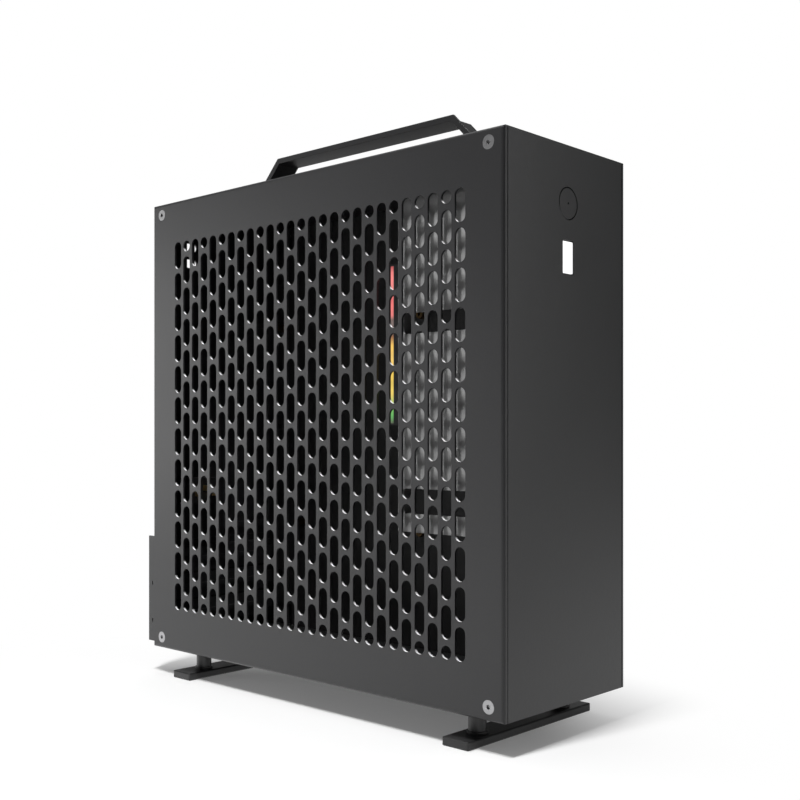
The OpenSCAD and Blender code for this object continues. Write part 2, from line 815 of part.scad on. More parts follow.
// The cap: flush face with a fine chamfer, a light hole in its middle, a lip that keeps it in
module button_cap() {
    pin_d = 1.4;
    lip_at = sheet_t + 0.1;
    chamfer = 0.5;
    color("#343434") translate([0, y_front, cap_z]) rotate([-90, 0, 0]) difference() {
        union() {
            cylinder(h = chamfer, d1 = cap_d - 2 * chamfer, d2 = cap_d);
            translate([0, 0, chamfer]) cylinder(h = cap_h - chamfer, d = cap_d);
            translate([0, 0, lip_at]) cylinder(h = 1.2, d = cap_lip_d);
            translate([0, 0, cap_h]) cylinder(h = stem_l, d = stem_d);
        }
        translate([0, 0, -over]) cylinder(h = cap_h + stem_l + 2 * over, d = pin_d);
    }
}

// The return spring between the cap and the switch
module button_spring() {
    wire_d = 0.7;
    coil_r = stem_d / 2 + 1.2;
    coils = 3;
    steps = 18;
    sides = 8;
    turns = coils * steps;
    rise = (spring_l - wire_d) / turns;
    rings = [for (i = [0 : turns]) [for (j = [0 : sides - 1])
        let (a = i * 360 / steps, b = j * 360 / sides, r = coil_r + wire_d / 2 * cos(b))
        [r * cos(a), r * sin(a), i * rise + wire_d / 2 * (1 + sin(b))]]];
    color("#c8c8c8") translate([0, y_front + cap_h + 0.05, cap_z]) rotate([-90, 0, 0]) polyhedron(
        points = [for (ring = rings, p = ring) p],
        faces = concat(
            [[for (j = [0 : sides - 1]) j], [for (j = [sides - 1 : -1 : 0]) turns * sides + j]],
            [for (i = [0 : turns - 1], j = [0 : sides - 1]) let (k = (j + 1) % sides)
                [i * sides + j, (i + 1) * sides + j, (i + 1) * sides + k, i * sides + k]]
        )
    );
}

// The strap behind the front sheet that holds the switch
module switch_strap() {
    foot_w = 7;
    back = strap_at + inner_t - sheet_t;
    color("#383838") translate([0, y_front + sheet_t, cap_z - strap_h / 2]) difference() {
        union() {
            translate([-strap_half, strap_at - sheet_t, 0]) cube([2 * strap_half, inner_t, strap_h]);
            for (s = [-1, 1]) {
                translate([s * (strap_half - inner_t / 2) - inner_t / 2, 0, 0]) cube([inner_t, back, strap_h]);
                translate([s * (strap_half + foot_w / 2 - inner_t / 2) - foot_w / 2, 0, 0])
                    cube([foot_w, inner_t, strap_h]);
            }
        }
        translate([0, -over, strap_h / 2]) rotate([-90, 0, 0]) cylinder(h = back + 2 * over, d = switch_d + 0.2);
    }
}

// The switch that the cap's stem presses, with two solder tags
module button_switch() {
    body_l = 16;
    mouth_d = stem_d + 0.6;
    color("#202020") translate([0, y_front, cap_z]) rotate([-90, 0, 0]) {
        difference() {
            union() {
                translate([0, 0, switch_at]) cylinder(h = body_l, d = switch_d);
                translate([0, 0, switch_at]) cylinder(h = strap_at - switch_at, d = switch_d + 3);
            }
            translate([0, 0, switch_at - over]) cylinder(h = over + cap_travel + 3.5, d = mouth_d);
        }
        for (s = [-1, 1]) translate([s * 4 - 1, -0.4, switch_at + body_l]) cube([2, 0.8, 5]);
    }
}

module button_nut() {
    color("#b8b8b8") translate([0, y_front + strap_at + inner_t, cap_z]) rotate([-90, 0, 0])
        hex_nut(switch_d + 4, 2.5, switch_d);
}

// The white diffuser in the window: a pane with a gap around it, on a rim behind the front sheet
module light_window() {
    pane_w = window_w - 2 * window_gap;
    pane_h = window_h - 2 * window_gap;
    color("#ffffff") {
        sheet_y(y_front + window_back, sheet_t - window_back + window_rim_t / 2)
            translate([-pane_w / 2, win_z - pane_h / 2]) rounded(pane_w, pane_h, 0.5);
        sheet_y(y_front + sheet_t, window_rim_t)
            translate([-window_w / 2 - window_rim, win_z - window_h / 2 - window_rim])
                rounded(window_w + 2 * window_rim, window_h + 2 * window_rim, 1.5);
    }
}

module window_board() {
    board_w = window_w + 12;
    board_h = window_h + 8;
    seat = y_front + sheet_t + window_rim_t;
    color("#1e3a28") {
        sheet_y(seat, 1.6) translate([-board_w / 2, win_z - board_h / 2]) rounded(board_w, board_h, 1.5);
        for (z = [-4, 4]) translate([-3, seat + 1.6, win_z + z - 1.5]) cube([6, 4, 3]);
    }
}

module at_bracket_rivets() {
    for (f = [0.12, 0.38, 0.62, 0.88])
        translate([0, y_front + flange_w / 2 + 1, bracket_low + f * (bracket_high - bracket_low)]) children();
}

module bracket_rivet_holes() {
    at_bracket_rivets() translate([-x_sheet - over, 0, 0]) rotate([0, 90, 0]) cylinder(h = 5, d = rivet_d);
}

// The bracket of the front bay: a plate with two long windows and a folded rear edge
module bay_bracket() {
    window_end = bracket_end - 4;
    window_start = bracket_y + flange_w + 2;
    color("#363636") difference() {
        union() {
            sheet_x(bracket_x, sheet_t) difference() {
                translate([bracket_y, bracket_low]) square([bracket_end - bracket_y, bracket_high - bracket_low]);
                for (i = [0, 1]) translate([window_start, gap_zs[i] - gap_hs[i] / 2])
                    rounded(window_end - window_start, gap_hs[i], 2);
                for (y = [bracket_end - 46, bracket_end - 14], z = [bracket_low + 48, bracket_low + 92])
                    translate([y, z]) circle(d = 3.6);
                translate([screw_ys[0], screw_zs[1]]) square(screw_room, center = true);
            }
            translate([bracket_x, bracket_end - sheet_t, bracket_low])
                cube([bracket_fold, sheet_t, bracket_high - bracket_low]);
            translate([bracket_x, bracket_end - 30, bracket_high - sheet_t]) cube([bracket_fold, 30, sheet_t]);
        }
        bracket_rivet_holes();
    }
}

module bracket_rivets() {
    color("#303030") at_bracket_rivets() translate([-x_sheet, 0, 0]) rotate([0, 90, 0]) rivet(2 * sheet_t);
}

// The light bar along the bracket's folded edge: an arm with a milky lens let into it
module light_bar() {
    wall = 1;
    color("#202020") difference() {
        translate([bracket_x + 3, bracket_end, light_z]) cube([bar_light_t, bar_light_w, bar_light_l]);
        translate([bracket_x + 3 - over, lens_at, light_z + wall])
            cube([bar_light_t - wall + over, lens_w, bar_light_l - 2 * wall]);
    }
}

module light_lens() {
    wall = 1;
    play = 0.1;
    color("#f0d080") translate([bracket_x + 3.2, lens_at + play, light_z + wall + play])
        cube([bar_light_t - wall - 0.2, lens_w - 2 * play, bar_light_l - 2 * wall - 2 * play]);
}

// The blank in the opening for the board's sockets: raised field, rim behind the rear sheet
module port_plate() {
    plate_t = 0.8;
    rim = 3.2;
    play = 0.3;
    color("#505050") difference() {
        union() {
            sheet_y(y_rear - sheet_t - plate_t, plate_t)
                translate([port_x - port_w - rim, port_z - rim]) square([port_w + 2 * rim, port_l + 2 * rim]);
            sheet_y(y_rear - sheet_t, sheet_t - 0.2)
                translate([port_x - port_w + play, port_z + play]) square([port_w - 2 * play, port_l - 2 * play]);
        }
        sheet_y(y_rear - sheet_t - plate_t - over, plate_t + sheet_t + over - 0.2 - plate_t)
            translate([port_x - port_w + play + plate_t, port_z + play + plate_t])
                square([port_w - 2 * (play + plate_t), port_l - 2 * (play + plate_t)]);
        for (f = [0.25, 0.5, 0.75]) translate([port_x - port_w / 2, y_rear, port_z + f * port_l])
            rotate([0, 90, 0]) cylinder(h = port_w - 14, r = 0.55, center = true);
    }
}

left_side_panel();
right_side_panel();
front_panel();
rear_panel();
top_panel();
bottom_panel();
panel_bosses();
panel_screws();
mainboard_tray();
board_standoffs();
tray_rivets();
lid_rivets();
handle();
handle_screws();
handle_nuts();
front_foot_bar();
rear_foot_bar();
foot_posts();
foot_screws();
foot_nuts();
slot_frame();
slot_cover_1();
slot_cover_2();
slot_cover_3();
slot_screws();
power_inlet();
inlet_pins();
inlet_screws();
button_ring();
button_cap();
button_spring();
switch_strap();
button_switch();
button_nut();
light_window();
window_board();
bay_bracket();
bracket_rivets();
light_bar();
light_lens();
port_plate();
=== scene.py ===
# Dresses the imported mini-ITX case: camera, finishes, small curved parts, floor and light.
# Metres, +Z up. The front face looks along -Y; the side seen in the picture is the -X side.
import math

import bpy
import numpy as np
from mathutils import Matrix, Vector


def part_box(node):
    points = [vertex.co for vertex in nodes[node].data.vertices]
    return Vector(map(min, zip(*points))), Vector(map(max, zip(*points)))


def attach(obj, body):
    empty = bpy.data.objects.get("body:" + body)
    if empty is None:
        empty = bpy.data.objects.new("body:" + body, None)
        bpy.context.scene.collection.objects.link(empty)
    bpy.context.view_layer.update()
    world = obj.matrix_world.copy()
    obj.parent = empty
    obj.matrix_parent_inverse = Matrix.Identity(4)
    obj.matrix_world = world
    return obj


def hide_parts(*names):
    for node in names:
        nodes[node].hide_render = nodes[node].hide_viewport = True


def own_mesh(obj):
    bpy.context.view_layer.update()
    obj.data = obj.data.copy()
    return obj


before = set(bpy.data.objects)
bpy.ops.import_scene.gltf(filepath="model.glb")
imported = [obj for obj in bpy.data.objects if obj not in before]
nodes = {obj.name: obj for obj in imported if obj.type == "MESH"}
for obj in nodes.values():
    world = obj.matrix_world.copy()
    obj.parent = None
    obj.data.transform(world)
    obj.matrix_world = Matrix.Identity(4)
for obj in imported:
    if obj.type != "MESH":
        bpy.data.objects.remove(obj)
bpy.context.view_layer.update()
mm = 0.001
print("frame loaded:", len(nodes), "nodes")


# ---------------------------------------------------------------- camera

cameraView = {
    "place": (-0.5463, -0.5378, 0.1810),
    "heading": (0.734, 0.679),  # level, so upright lines stay upright
    "lens": 49.75,
    "riseShift": 0.03875,  # the horizon lies a little under the middle
}


def makeCamera(view):
    data = bpy.data.cameras.new("viewCamera")
    data.sensor_width = 36
    data.lens = view["lens"]
    data.shift_y = view["riseShift"]
    data.clip_start = 0.01
    data.clip_end = 60
    camera = bpy.data.objects.new("viewCamera", data)
    camera.location = view["place"]
    camera.rotation_euler = (math.pi / 2, 0, -math.atan2(*view["heading"]))
    bpy.context.scene.collection.objects.link(camera)
    bpy.context.scene.camera = camera


makeCamera(cameraView)
print("camera set")


# ---------------------------------------------------------------- shader maths

class Wire:
    # one output socket; an expression on wires adds the Math nodes it needs
    def __init__(self, graph, socket):
        self.graph = graph
        self.socket = socket

    def math(self, operation, *others):
        values = {i: v for i, v in enumerate((self,) + others)}
        return self.graph.node("ShaderNodeMath", {"operation": operation}, values)

    def __add__(self, other):
        return self.math("ADD", other)

    def __mul__(self, other):
        return self.math("MULTIPLY", other)

    def __sub__(self, other):
        return self.math("SUBTRACT", other)

    def __rsub__(self, other):
        return self.graph.node("ShaderNodeMath", {"operation": "SUBTRACT"}, {0: other, 1: self})

    def __truediv__(self, other):
        return self.math("DIVIDE", other)

    def __gt__(self, other):
        return self.math("GREATER_THAN", other)

    def __lt__(self, other):
        return self.math("LESS_THAN", other)

    def size(self):
        return self.math("ABSOLUTE")

    def between(self, low, high):
        # 0 below low, 1 above high, a smooth step from one to the other
        values = {"Value": self, "From Min": low, "From Max": high}
        return self.graph.node("ShaderNodeMapRange", {"interpolation_type": "SMOOTHSTEP"}, values)


class Graph:
    # the node tree of one material or world
    def __init__(self, owner, outputKind="ShaderNodeOutputMaterial"):
        self.owner = owner
        owner.use_nodes = True
        self.tree = owner.node_tree
        self.tree.nodes.clear()
        self.output = self.tree.nodes.new(outputKind)

    def node(self, kind, settings=None, values=None, out=0):
        made = self.tree.nodes.new(kind)
        for key, value in (settings or {}).items():
            if key == "stops":
                self.setStops(made.color_ramp, value)
            else:
                setattr(made, key, value)
        for key, value in (values or {}).items():
            self.feed(made.inputs[key], value)
        return Wire(self, made.outputs[out])

    def setStops(self, ramp, stops):
        while len(ramp.elements) < len(stops):
            ramp.elements.new(1.0)
        for element, (place, colour) in zip(ramp.elements, stops):
            element.position = place
            element.color = (*colour, 1.0)

    def feed(self, socket, value):
        if isinstance(value, Wire):
            self.tree.links.new(value.socket, socket)
        elif socket.type == "RGBA" and len(value) == 3:
            socket.default_value = (*value, 1.0)
        else:
            socket.default_value = value

    def place(self):
        return self.node("ShaderNodeTexCoord", out="Object")

    def facing(self):
        return self.node("ShaderNodeTexCoord", out="Normal")

    def parts(self, vector):
        made = self.tree.nodes.new("ShaderNodeSeparateXYZ")
        self.feed(made.inputs[0], vector)
        return [Wire(self, s) for s in made.outputs]

    def stretched(self, scale):
        return self.node("ShaderNodeMapping", None, {"Vector": self.place(), "Scale": scale})

    def noise(self, scale, detail=2.0, vector=None):
        values = {"Vector": vector or self.place(), "Scale": scale, "Detail": detail}
        return self.node("ShaderNodeTexNoise", None, values)

    def mixed(self, factor, a, b):
        return self.node("ShaderNodeMix", {"data_type": "RGBA"}, {0: factor, 6: a, 7: b}, out=2)

    def bump(self, height, depth, strength=1.0, normal=None):
        values = {"Height": height, "Distance": depth, "Strength": strength}
        if normal:
            values["Normal"] = normal
        return self.node("ShaderNodeBump", None, values)

    def rounded(self, radius):
        return self.node("ShaderNodeBevel", {"samples": 4}, {"Radius": radius})

    def surface(self, **values):
        named = {key.replace("_", " "): value for key, value in values.items()}
        shader = self.node("ShaderNodeBsdfPrincipled", None, named)
        self.feed(self.output.inputs["Surface"], shader)
        return self.owner


def newFinish(name):
    return Graph(bpy.data.materials.new(name))


# ---------------------------------------------------------------- finishes

black = (0.0, 0.0, 0.0)
powderCoat = {
    "grain": 1500.0,  # grains per metre
    "grainDepth": 0.00004,
    "grainStrength": 0.8,
    "grainEdge": (0.35, 0.75),
    "grainShare": 0.35,
    "grainTint": 1.35,
    "grainRough": 0.06,
    "peel": 320.0,
    "peelDepth": 0.00006,
    "peelStrength": 0.6,
    "cloud": 9.0,
    "cloudTint": (0.9, 1.1),
    "cloudRough": 0.08,
    "edgeRound": 0.00045,
}


def scaled(colour, factor):
    return [min(1.0, c * factor) for c in colour]


def clouded(g, cloud, colour, low, high):
    return g.mixed(cloud, scaled(colour, low), scaled(colour, high))


def paint(name, colour, rough, shine=0.5, cut=None, coat=powderCoat):
    # fine grain over a slow orange peel and a cloudy tint; edges are rounded a little for the light
    # where a cut is given, the upward-facing lower arcs of holes cut through a side skin get a
    # painted highlight: a near-white tone in place of the light from above
    g = newFinish(name)
    cloud = g.noise(coat["cloud"], 3.0)
    grain = g.noise(coat["grain"])
    peel = g.noise(coat["peel"])
    tint = clouded(g, cloud, colour, *coat["cloudTint"])
    sparkle = grain.between(*coat["grainEdge"]) * coat["grainShare"]
    tint = g.mixed(sparkle, tint, scaled(colour, coat["grainTint"]))
    spread = (coat["cloudRough"] + coat["grainRough"]) / 2
    roughness = cloud * coat["cloudRough"] + grain * coat["grainRough"] + (rough - spread)
    if cut:
        facing, spot = g.parts(g.facing()), g.parts(g.place())
        wall = facing[0].size() < cut["sideways"]
        wall = wall * (spot[0].size() > cut["skinFrom"]) * (spot[1] < cut["lastY"])
        # painted highlight: the walls of the holes are painted near white where they face upward
        tint = g.mixed(wall * facing[2].between(*cut["upward"]), tint, cut["highlightTone"])
    normal = g.bump(peel, coat["peelDepth"], coat["peelStrength"], g.rounded(coat["edgeRound"]))
    normal = g.bump(grain, coat["grainDepth"], coat["grainStrength"], normal)
    return g.surface(Base_Color=tint, Roughness=roughness, Normal=normal, Specular_IOR_Level=shine)


turned = {
    "lines": (900.0, 900.0, 900.0),
    "lineRough": 0.18,
    "lineDepth": 0.00002,
    "lineStrength": 0.5,
    "cloud": 60.0,
    "cloudRough": 0.08,
    "cloudTint": (0.82, 1.1),
    "edgeRound": 0.00015,
}


def turnedMetal(name, colour, rough, cut=turned):
    # turned metal: stretched noise moves the roughness and the surface a little
    g = newFinish(name)
    lines = g.noise(1.0, 3.0, g.stretched(cut["lines"]))
    cloud = g.noise(cut["cloud"])
    tint = clouded(g, cloud, colour, *cut["cloudTint"])
    spread = (cut["lineRough"] + cut["cloudRough"]) / 2
    roughness = lines * cut["lineRough"] + cloud * cut["cloudRough"] + (rough - spread)
    normal = g.bump(lines, cut["lineDepth"], cut["lineStrength"], g.rounded(cut["edgeRound"]))
    return g.surface(Base_Color=tint, Metallic=1.0, Roughness=roughness, Normal=normal)


moulded = {
    "grain": 2600.0,
    "grainDepth": 0.00005,
    "grainStrength": 0.5,
    "cloud": 25.0,
    "cloudRough": 0.1,
    "cloudTint": (0.85, 1.15),
    "edgeRound": 0.0003,
}


def mouldedPlastic(name, colour, rough, mould=moulded):
    # spark-eroded grain, slightly uneven gloss
    g = newFinish(name)
    spots = g.node("ShaderNodeTexVoronoi", None, {"Vector": g.place(), "Scale": mould["grain"]})
    cloud = g.noise(mould["cloud"], 3.0)
    tint = clouded(g, cloud, colour, *mould["cloudTint"])
    roughness = cloud * mould["cloudRough"] + (rough - mould["cloudRough"] / 2)
    edge = g.rounded(mould["edgeRound"])
    normal = g.bump(spots, mould["grainDepth"], mould["grainStrength"], edge)
    return g.surface(Base_Color=tint, Roughness=roughness, Normal=normal)


litPane = {
    "depth": 1.05 * mm,  # the lit part, measured from the front of the pane
    "dim": (0.97, 0.97, 0.97),
    "bright": (1.0, 1.0, 1.0),
    "mask": (0.015, 0.015, 0.015),
    "strength": 1.0,
    "haze": 220.0,
    "hazeRough": (0.1, 0.3),
}


def litWindow(name, node, pane):
    # a milky pane lit from behind; the rim around its foot is masked black
    g = newFinish(name)
    lit = g.parts(g.place())[1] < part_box(node)[0][1] + pane["depth"]
    haze = g.noise(pane["haze"])
    glow = g.mixed(haze, pane["dim"], pane["bright"])
    spread, least = pane["hazeRough"]
    return g.surface(Base_Color=g.mixed(lit, pane["mask"], glow), Roughness=haze * spread + least,
                     Emission_Color=g.mixed(lit, black, glow), Emission_Strength=pane["strength"])


barGlow = {
    "strength": 1.0,
    "lamps": 8.5 * mm,  # from one small lamp to the next
    "pools": (0.08, 0.92),
    "lens": (0.25, 0.2, 0.18),
    "haze": 300.0,
    "hazeRough": (0.1, 0.25),
    "stops": [
        (0.00, (0.0, 0.02, 0.0)),
        (0.05, (0.05, 0.40, 0.06)),
        (0.11, (0.12, 0.52, 0.05)),
        (0.18, (0.75, 0.55, 0.04)),
        (0.50, (0.85, 0.50, 0.05)),
        (0.545, (0.30, 0.10, 0.01)),
        (0.57, (0.02, 0.004, 0.004)),
        (0.66, (0.02, 0.004, 0.004)),
        (0.69, (0.80, 0.12, 0.12)),
        (0.96, (0.88, 0.16, 0.16)),
        (1.00, (0.40, 0.03, 0.03)),
    ],
}


def litBar(name, node, glow):
    # a milky lens over coloured lamps: the colour runs along its height, the lamps make soft pools
    g = newFinish(name)
    low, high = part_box(node)
    height = g.parts(g.place())[2]
    run = (height - low[2]) / (high[2] - low[2])
    colour = g.node("ShaderNodeValToRGB", {"stops": glow["stops"]}, {"Fac": run})
    swing, level = glow["pools"]
    pools = (height * (2 * math.pi / glow["lamps"])).math("SINE") * swing + level
    spread, least = glow["hazeRough"]
    haze = g.noise(glow["haze"]) * spread + least
    lit = g.mixed(pools, black, colour)
    return g.surface(Base_Color=glow["lens"], Roughness=haze, Emission_Color=lit,
                     Emission_Strength=glow["strength"])


boardSkin = {
    "runs": (1900.0, 1600.0),  # radians per metre, across and up
    "runEdge": (0.1, 0.35),
    "runTint": 1.7,
    "weave": 1800.0,
    "weaveShare": 0.2,
    "weaveRough": (0.15, 0.28),
    "depth": 0.00003,
    "strength": 0.6,
}


def solderMask(name, colour, board=boardSkin):
    # green lacquer over copper runs: a square lattice of faint lines under a glossy skin
    g = newFinish(name)
    spot = g.parts(g.place())
    across, up = board["runs"]
    runs = (spot[0] * across).math("SINE") * (spot[2] * up).math("SINE")
    track = runs.between(*board["runEdge"])
    tint = g.mixed(track, colour, scaled(colour, board["runTint"]))
    weave = g.noise(board["weave"])
    spread, least = board["weaveRough"]
    normal = g.bump(track + weave * board["weaveShare"], board["depth"], board["strength"])
    return g.surface(Base_Color=tint, Roughness=weave * spread + least, Normal=normal)


caseTone = (0.026, 0.026, 0.0272)
# painted highlight on the lower arcs of the side skins' slots, in place of the light from above
# that falls on their walls
slotArcHighlight = {
    "highlightTone": (0.95, 0.95, 0.96),
    "sideways": 0.15,  # a hole's wall doesn't look sideways
    "upward": (0.25, 0.70),
    "skinFrom": abs(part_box("left_side_panel")[0][0]) - 1.49 * mm,
    "lastY": 145 * mm,
}
finishes = {
    "casePaint": paint("casePaint", caseTone, 0.34, 0.4),
    "slottedPaint": paint("slottedPaint", caseTone, 0.38, 0.4, slotArcHighlight),
    "insidePaint": paint("insidePaint", (0.012, 0.012, 0.0125), 0.6),
    "bracketPaint": paint("bracketPaint", (0.38, 0.38, 0.38), 0.5),
    "coverPaint": paint("coverPaint", (0.03, 0.03, 0.032), 0.5),
    "handlePaint": paint("handlePaint", (0.018, 0.018, 0.0187), 0.42, 0.3),
    "zinc": turnedMetal("zinc", (0.62, 0.62, 0.60), 0.35),
    "screwSteel": turnedMetal("screwSteel", (0.33, 0.33, 0.335), 0.40),
    "blackOxide": turnedMetal("blackOxide", (0.05, 0.05, 0.05), 0.45),
    "pinBrass": turnedMetal("pinBrass", (0.72, 0.52, 0.22), 0.32),
    # painted shade: the standoffs' brass is made dark so that, under the board, they show no glints
    "shadeDarkBrass": turnedMetal("shadeDarkBrass", (0.10, 0.065, 0.03), 0.5),
    "footBlack": mouldedPlastic("footBlack", (0.019, 0.019, 0.0197), 0.5),
    "postBlack": paint("postBlack", (0.011, 0.011, 0.0115), 0.4),
    "blackPlastic": mouldedPlastic("blackPlastic", (0.018, 0.018, 0.019), 0.5),
    "milkyWindow": litWindow("milkyWindow", "light_window", litPane),
    "milkyLens": litBar("milkyLens", "light_lens", barGlow),
    "boardGreen": solderMask("boardGreen", (0.02, 0.07, 0.035)),
}

worn = {
    "slottedPaint": ["left_side_panel", "right_side_panel"],
    "casePaint": ["front_panel", "rear_panel", "top_panel", "bottom_panel", "button_cap"],
    "insidePaint": ["mainboard_tray", "slot_frame", "switch_strap"],
    "bracketPaint": ["bay_bracket"],
    "coverPaint": ["slot_cover_1", "slot_cover_2", "slot_cover_3", "port_plate"],
    "handlePaint": ["handle"],
    "zinc": ["panel_bosses", "handle_nuts", "foot_nuts", "button_nut", "button_spring"],
    "screwSteel": ["panel_screws", "slot_screws"],
    "blackOxide": ["tray_rivets", "lid_rivets", "bracket_rivets", "handle_screws", "foot_screws",
                   "inlet_screws"],
    "pinBrass": ["inlet_pins"],
    "shadeDarkBrass": ["board_standoffs"],
    "footBlack": ["front_foot_bar", "rear_foot_bar"],
    "postBlack": ["foot_posts"],
    "blackPlastic": ["power_inlet", "button_ring", "button_switch", "light_bar"],
    "milkyWindow": ["light_window"],
    "milkyLens": ["light_lens"],
    "boardGreen": ["window_board"],
}


def dress(node, finish):
    mesh = nodes[node].data
    mesh.materials.clear()
    mesh.materials.append(finishes[finish])


for finish, members in worn.items():
    for member in members:
        dress(member, finish)
print("finishes on", sum(len(m) for m in worn.values()), "nodes")


# ---------------------------------------------------------------- small curved parts

def fullTurn(count):
    return np.linspace(0, 2 * math.pi, count, endpoint=False)


def ringsOf(x, y, z):
    return np.stack(np.broadcast_arrays(x, y, z), axis=-1)


def shutSkin(rings):
    # a closed skin over rings x round x 3 points: quads between the rings and a fan at each end
    count, width = rings.shape[:2]
    ring, step = np.meshgrid(np.arange(count - 1), np.arange(width), indexing="ij")
    after = (step + 1) % width
    quads = np.stack([ring * width + step, ring * width + after,
                      (ring + 1) * width + after, (ring + 1) * width + step], axis=-1)
    spot, onward = step[0], after[0]
    last, foot = (count - 1) * width, count * width
    fans = np.concatenate([
        np.stack([onward, spot, np.full(width, foot)], axis=-1),
        np.stack([last + spot, last + onward, np.full(width, foot + 1)], axis=-1)])
    points = np.concatenate([rings.reshape(-1, 3), rings[[0, -1]].mean(axis=1)])
    return points, quads.reshape(-1, 4), fans


def addPiece(name, skins, finish, body):
    # one object from several closed skins
    points, faces, start = [], [], 0
    for skinPoints, quads, fans in skins:
        points.append(skinPoints)
        faces += (quads + start).tolist() + (fans + start).tolist()
        start += len(skinPoints)
    mesh = bpy.data.meshes.new(name)
    mesh.from_pydata(np.concatenate(points).tolist(), [], faces)
    mesh.shade_smooth()
    mesh.materials.append(finishes[finish])
    piece = bpy.data.objects.new(name, mesh)
    bpy.context.scene.collection.objects.link(piece)
    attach(piece, body)
    return piece


holePlugs = {
    "middles": [(y * mm, z * mm) for y in (-129.75, -97.75) for z in (168.6, 212.6)],
    "headRadius": 2.6 * mm,
    "shankRadius": 1.72 * mm,
    "rise": 0.5 * mm,
    "lift": 0.02 * mm,  # of the head's rim over the sheet
    "chamfer": 0.12 * mm,  # of the shank's inner end
    "chamferShare": 0.9,
    "poleShare": 0.08,  # the smallest ring before the middle is closed
    "depth": 1.5 * mm,
    "round": 40,
    "rings": 9,
}


def domedPlug(middle, setup, outer):
    # a plug for a round hole, turned about X: the head follows rise * (1 - r^2), with r going from
    # 0 at the middle to 1 at the head's edge; the straight shank ends level with the far side
    angle = fullTurn(setup["round"])
    inner = outer + setup["depth"]
    share = np.linspace(1.0, setup["poleShare"], setup["rings"])
    shankR = setup["shankRadius"] * np.array([setup["poleShare"], setup["chamferShare"], 1.0, 1.0])
    shankX = np.array([inner, inner, inner - setup["chamfer"], outer])
    radius = np.concatenate([shankR, setup["headRadius"] * np.append(1.0, share)])[:, None]
    headX = outer - setup["rise"] * (1 - share ** 2) - setup["lift"]
    x = np.concatenate([shankX, [outer], headX])[:, None]
    return shutSkin(ringsOf(x, middle[0] - radius * np.cos(angle),
                            middle[1] + radius * np.sin(angle)))


ventSlats = {
    # middle and half width of each, from the far corner on
    "slats": [(-43.8 * mm, 8.2 * mm), (-34.5 * mm, 1.5 * mm), (-27.0 * mm, 1.2 * mm)],
    "thick": 0.45 * mm,
    "gap": 0.05 * mm,  # to the inner face of the rear sheet
    "sheet": 1.5 * mm,
    "low": 303.5 * mm,
    "high": 329.0 * mm,
    "endRound": 1.6 * mm,
    "endLeast": 0.02,
    "round": 36,
    "rings": 30,
}


def slat(middle, half, setup, rearFace):
    # an ellipse carried straight up; near both ends it draws in like a quarter circle of endRound
    angle = fullTurn(setup["round"])
    run = (1 - np.cos(np.linspace(0, math.pi, setup["rings"]))) / 2
    z = setup["low"] + run * (setup["high"] - setup["low"])
    toEnd = np.minimum(z - setup["low"], setup["high"] - z) / setup["endRound"]
    drawn = 1 - np.clip(toEnd, setup["endLeast"], 1)
    share = np.sqrt(np.clip(1 - drawn ** 2, 0, 1))[:, None]
    y = rearFace - setup["sheet"] - setup["gap"] - setup["thick"]
    return shutSkin(ringsOf(middle + half * share * np.cos(angle),
                            y + setup["thick"] * share * np.sin(angle), z[:, None]))


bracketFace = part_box("bay_bracket")[0][0]
addPiece("bracket_hole_plugs", [domedPlug(m, holePlugs, bracketFace) for m in holePlugs["middles"]],
         "bracketPaint", "case")
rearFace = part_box("rear_panel")[1][1]
addPiece("vent_slats", [slat(x, half, ventSlats, rearFace) for x, half in ventSlats["slats"]],
         "insidePaint", "case")

returnSpring = {
    "wire": 0.7 * mm,
    "coils": 3,
    "steps": 28,
    "round": 14,
    "pressed": 1.5 * mm,  # how much shorter the coil is with the button in
}


def coil(low, high, setup):
    # a circle of the wire's radius carried along a helix about Y; both ends of the wire are closed
    coils = setup["coils"]
    turn = np.linspace(0, 2 * math.pi * coils, coils * setup["steps"] + 1)[:, None]
    around = fullTurn(setup["round"])
    half = setup["wire"] / 2
    middle = (low + high) / 2
    reach = (high[0] - low[0]) / 2 - half + half * np.cos(around)
    y = low[1] + half + (high[1] - low[1] - 2 * half) * turn / turn[-1]
    return shutSkin(ringsOf(middle[0] + reach * np.cos(turn), y - half * np.sin(around),
                            middle[2] - reach * np.sin(turn)))


springLow, springHigh = (np.array(v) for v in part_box("button_spring"))
spring = addPiece("return_spring_coil", [coil(springLow, springHigh, returnSpring)],
                  "zinc", "case")
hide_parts("button_spring")
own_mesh(spring)
print("small parts made")


# ---------------------------------------------------------------- floor and light

studio = {
    "floorSize": 14.0,
    "floorColour": (0.84, 0.84, 0.84),
    "floorBounce": (0.20, 0.20, 0.20),  # the floor as its own soft light on the case sees it
    "cameraLift": 0.12,  # what the camera sees on top of the floor's own light
    "frontGloss": 0.22,  # the floor as the case mirrors it, in front of the case and beside it
    "sideGloss": 0.62,
    "sideEdge": (-0.35, 0.05),
    "fadeMiddle": (-0.18, -0.03),  # around this point the lit floor fades into plain white
    "fadeStart": 0.20,
    "fadeEnd": 0.37,
    "ambient": 0.25,
    "flagAim": (-0.35, -0.93, 0.05),  # towards the dark cloth that stands in front of the case
    "flagEdge": (-0.55, 0.0),
    "flagSoft": 0.6,
    "flagGloss": 0.85,
    "mirror": 0.6,
    "topEdge": (0.05, 0.45),
    "topGloss": 0.6,
    "lamps": [
        # name, place, aims at, size, power
        ("keyBox", (-0.58, -0.12, 1.44), (-0.06, -0.12, 0.20), (0.12, 0.30), 21.0),
        ("leftBox", (-1.00, 1.55, 0.22), (-0.06, 0.05, 0.18), (0.8, 0.8), 5.7),
        ("rightTall", (0.98, -1.29, 0.58), (-0.04, -0.17, 0.20), (0.3, 1.1), 3.7),
        ("overhead", (0.20, 0.30, 1.60), (0.0, 0.0, 0.2), (1.2, 1.2), 4.0),
    ],
}


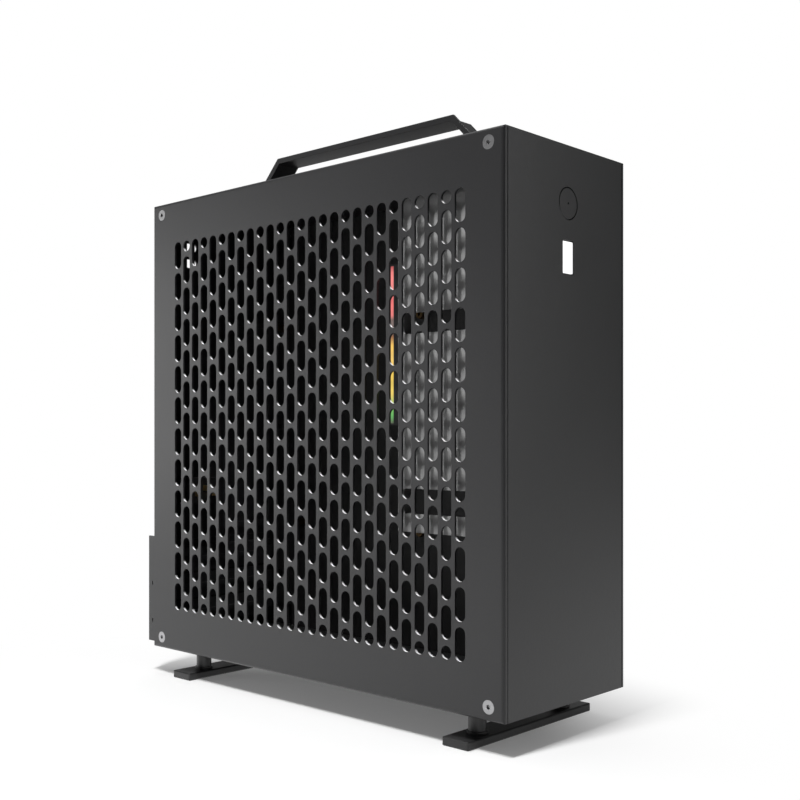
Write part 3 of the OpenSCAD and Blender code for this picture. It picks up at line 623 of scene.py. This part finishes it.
def floorFinish(setup):
    # lit floor near the object, fading into plain white further out; shadows stay on the lit part
    g = newFinish("paleFloor")
    x, y = (p - q for p, q in zip(g.parts(g.place()), setup["fadeMiddle"]))
    far = (x * x + y * y).math("SQRT").between(setup["fadeStart"], setup["fadeEnd"])
    seen = g.node("ShaderNodeLightPath", out="Is Camera Ray")
    gloss = g.node("ShaderNodeLightPath", out="Is Glossy Ray")
    tint = g.mixed(seen.math("MAXIMUM", gloss), setup["floorBounce"], setup["floorColour"])
    matt = g.node("ShaderNodeBsdfDiffuse", None, {"Color": tint})
    towardSide = (y - x).between(*setup["sideEdge"])
    glossLift = towardSide * (setup["sideGloss"] - setup["frontGloss"]) + setup["frontGloss"]
    strength = seen * setup["cameraLift"] + gloss * glossLift
    lift = g.node("ShaderNodeEmission", None, {"Color": (1, 1, 1), "Strength": strength})
    white = g.node("ShaderNodeEmission", None, {"Color": (1, 1, 1), "Strength": 1.0})
    near = g.node("ShaderNodeAddShader", None, {0: matt, 1: lift})
    both = g.node("ShaderNodeMixShader", None, {0: far * seen, 1: near, 2: white})
    g.feed(g.output.inputs["Surface"], both)
    return g.owner


def makeFloor(setup):
    half = setup["floorSize"] / 2
    corners = half * np.array([[-1, -1, 0], [1, -1, 0], [1, 1, 0], [-1, 1, 0]], float)
    mesh = bpy.data.meshes.new("paleFloor")
    mesh.from_pydata(corners.tolist(), [], [[0, 1, 2, 3]])
    mesh.materials.append(floorFinish(setup))
    floor = bpy.data.objects.new("paleFloor", mesh)
    bpy.context.scene.collection.objects.link(floor)


def makeWorld(setup):
    # plain white for the camera and clear things, soft light with a dark cloth for the rest
    world = bpy.data.worlds.new("studioWorld")
    g = Graph(world, "ShaderNodeOutputWorld")
    way = g.node("ShaderNodeTexCoord", out="Generated")
    toFlag = g.node("ShaderNodeVectorMath", {"operation": "DOT_PRODUCT"},
                    {0: way, 1: setup["flagAim"]}, out="Value")
    flag = toFlag.between(*setup["flagEdge"])
    camera = g.node("ShaderNodeLightPath", out="Is Camera Ray")
    clear = g.node("ShaderNodeLightPath", out="Is Transmission Ray")
    gloss = g.node("ShaderNodeLightPath", out="Is Glossy Ray")
    seen = camera.math("MAXIMUM", clear)
    high = g.parts(way)[2].between(*setup["topEdge"])
    unveiled = (1 - flag * setup["flagGloss"]) * (1 - high * setup["topGloss"])
    mirrored = gloss * unveiled * setup["mirror"]
    soft = (1 - gloss) * (1 - flag * setup["flagSoft"]) * setup["ambient"]
    strength = seen + (1 - seen) * (mirrored + soft)
    sky = g.node("ShaderNodeBackground", None, {"Color": (1, 1, 1), "Strength": strength})
    g.feed(g.output.inputs["Surface"], sky)
    bpy.context.scene.world = world


def makeLamp(name, place, target, size, power):
    data = bpy.data.lights.new(name, "AREA")
    data.shape = "RECTANGLE"
    data.size, data.size_y = size
    data.energy = power
    lamp = bpy.data.objects.new(name, data)
    way = np.array(target) - np.array(place)
    turn = math.atan2(way[1], way[0]) - math.pi / 2
    tip = math.atan2(math.hypot(way[0], way[1]), -way[2])
    lamp.location = place
    lamp.rotation_euler = (tip, 0, turn)
    bpy.context.scene.collection.objects.link(lamp)


makeFloor(studio)
makeWorld(studio)
for lamp in studio["lamps"]:
    makeLamp(*lamp)
bpy.context.scene.view_settings.view_transform = "Standard"
print("studio lit")
